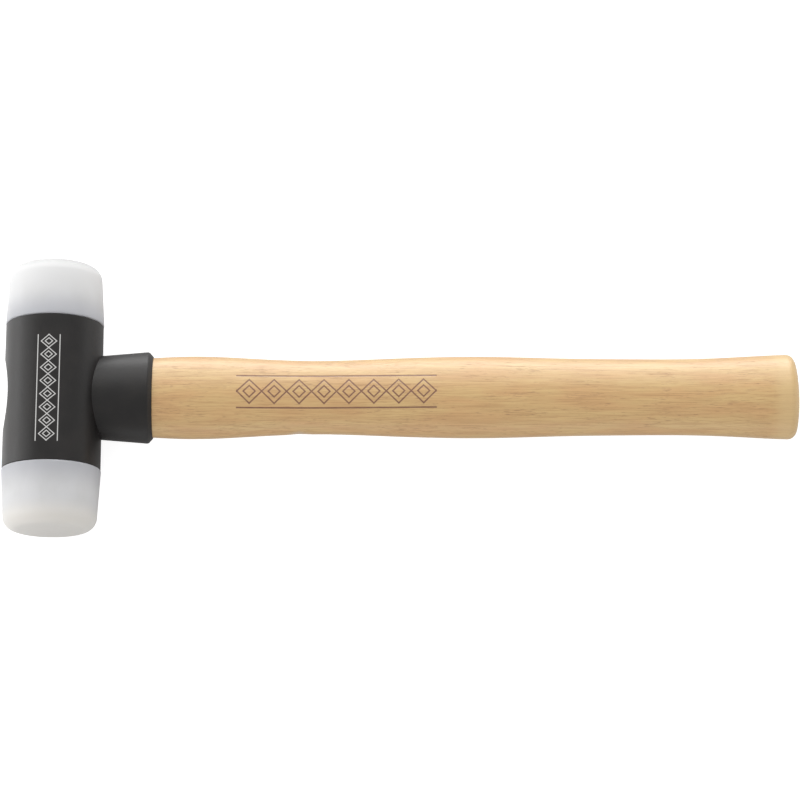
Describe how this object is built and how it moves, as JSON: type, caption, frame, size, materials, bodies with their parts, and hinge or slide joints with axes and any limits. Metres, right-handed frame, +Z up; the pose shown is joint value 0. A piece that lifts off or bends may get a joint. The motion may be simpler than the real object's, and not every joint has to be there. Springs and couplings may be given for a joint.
{
  "type": "soft-face hammer",
  "caption": "Dead-blow soft-face hammer: black tube head with pull-off white nylon faces, loose steel shot inside, and an oval wooden handle wedged into a flared sleeve.",
  "frame": {"origin": "middle of the hammer's footprint, on the surface it lies on", "axes": "+X along the hammer's length from the head to the butt; Y along the head's striking axis, with the upper face on the +Y side; +Z up, away from the surface it lies on"},
  "size_m": [0.302, 0.1026, 0.0373],
  "materials": {
    "black_coat": "satin black coating on steel",
    "handle_wood": "pale close-grained hardwood, sanded and clear-oiled",
    "wedge_wood": "hardwood wedge, end grain showing",
    "bare_steel": "bare mild steel",
    "spring_steel": "blackened spring steel",
    "shot_steel": "steel shot",
    "nylon": "white nylon, smooth satin"
  },
  "bodies": {
    "root": {"head_housing": "black_coat", "handle_sleeve": "black_coat", "handle": "handle_wood", "wooden_wedge": "wedge_wood", "upper_steel_wedge": "bare_steel", "lower_steel_wedge": "bare_steel", "upper_chamber_disc": "bare_steel", "lower_chamber_disc": "bare_steel", "upper_retaining_ring": "spring_steel", "lower_retaining_ring": "spring_steel"},
    "upper_face": {"upper_face": "nylon"},
    "lower_face": {"lower_face": "nylon"},
    "shot": {"steel_shot": "shot_steel"}
  },
  "joints": [
    {"name": "upper_face_pull", "type": "slide", "parent": "root", "child": "upper_face", "axis": [0, 1, 0], "range_m": [0, 0.012]},
    {"name": "lower_face_pull", "type": "slide", "parent": "root", "child": "lower_face", "axis": [0, -1, 0], "range_m": [0, 0.012]},
    {"name": "shot_slide", "type": "slide", "parent": "root", "child": "shot", "axis": [0, 1, 0], "range_m": [-0.0015, 0.0015]}
  ]
}
